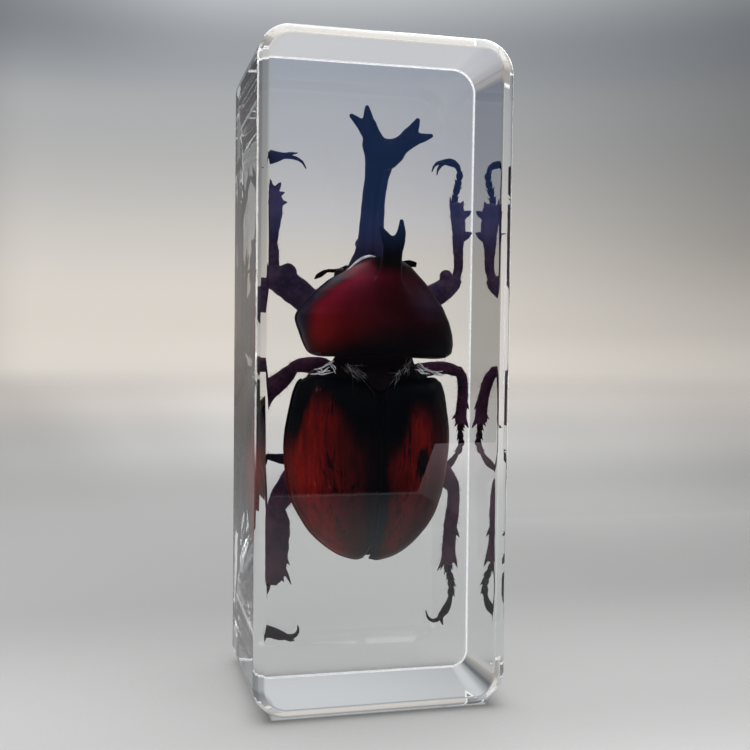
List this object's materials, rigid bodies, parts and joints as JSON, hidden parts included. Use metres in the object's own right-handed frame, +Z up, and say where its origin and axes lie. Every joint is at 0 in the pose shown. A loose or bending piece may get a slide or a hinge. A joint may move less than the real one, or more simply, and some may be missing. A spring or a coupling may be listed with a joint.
{
  "type": "insect in resin block",
  "caption": "Upright clear cast-resin block with rounded corners, a bevelled front rim and a flat ground back, holding a preserved horned rhinoceros beetle.",
  "frame": {"origin": "centre of the base, which is the narrow end the block stands on", "axes": "+Z up along the long side, +X to the right seen from the front, +Y from the front face to the back face"},
  "size_m": [0.0424, 0.0336, 0.11],
  "materials": {
    "clear_resin": "polished, water-clear, see-through"
  },
  "bodies": {
    "root": {"resin_block": "clear_resin"}
  },
  "joints": []
}
